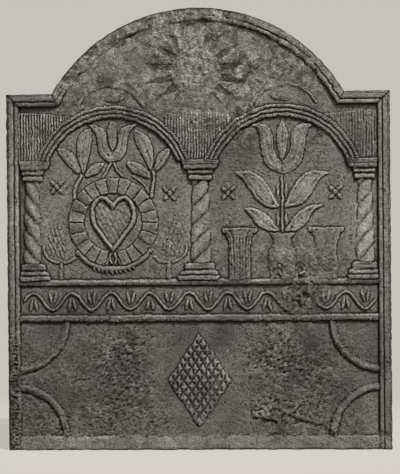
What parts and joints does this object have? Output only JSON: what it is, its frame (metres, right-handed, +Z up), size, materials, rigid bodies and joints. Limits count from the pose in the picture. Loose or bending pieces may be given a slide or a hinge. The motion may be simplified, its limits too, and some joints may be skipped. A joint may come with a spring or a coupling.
{
  "type": "stove plate",
  "caption": "Upright cast-iron stove plate with an arched head, moulded rims and low-relief folk ornament of arches, columns, tulips, heart and vase.",
  "frame": {"origin": "middle of the foot's edge, at half the plate's full depth, on the surface it stands on", "axes": "+Z up, -Y out of the ornamented face, +Y out of the plain back, +X to the right of someone who looks at the ornament"},
  "size_m": [0.711, 0.023, 0.8195],
  "materials": {
    "field_iron": "rough sand-cast surface, dark in the hollows",
    "worn_relief_iron": "sand-cast relief, rubbed lighter on its high edges"
  },
  "bodies": {
    "root": {"back_plate": "field_iron", "left_rim": "worn_relief_iron", "right_rim": "worn_relief_iron", "left_shoulder_rim": "worn_relief_iron", "right_shoulder_rim": "worn_relief_iron", "head_rim": "worn_relief_iron", "foot_rail": "worn_relief_iron", "band_lower_rail": "worn_relief_iron", "band_upper_rail": "worn_relief_iron", "band_vine": "worn_relief_iron", "left_column": "worn_relief_iron", "middle_column": "worn_relief_iron", "right_column": "worn_relief_iron", "left_base": "worn_relief_iron", "middle_base": "worn_relief_iron", "right_base": "worn_relief_iron", "left_capital": "worn_relief_iron", "middle_capital": "worn_relief_iron", "right_capital": "worn_relief_iron", "left_arch": "worn_relief_iron", "right_arch": "worn_relief_iron", "left_reeds": "field_iron", "middle_reeds": "field_iron", "right_reeds": "field_iron", "sun_disc": "worn_relief_iron", "sun_rays": "worn_relief_iron", "left_head_spray": "field_iron", "right_head_spray": "field_iron", "left_tulip": "worn_relief_iron", "left_leaf_spray": "worn_relief_iron", "right_leaf_spray": "worn_relief_iron", "wreath_ring": "field_iron", "wreath_rim": "worn_relief_iron", "heart_rib": "worn_relief_iron", "heart_foot": "worn_relief_iron", "left_sapling": "field_iron", "right_sapling": "field_iron", "right_tulip": "worn_relief_iron", "tulip_stem": "worn_relief_iron", "upper_leaves": "worn_relief_iron", "lower_leaves": "worn_relief_iron", "vase": "worn_relief_iron", "left_basket": "field_iron", "right_basket": "field_iron", "rosettes": "worn_relief_iron", "upper_left_corner_arc": "worn_relief_iron", "upper_right_corner_arc": "worn_relief_iron", "lower_left_corner_arc": "worn_relief_iron", "lower_right_corner_arc": "worn_relief_iron", "lozenge_studs": "worn_relief_iron"}
  },
  "joints": []
}
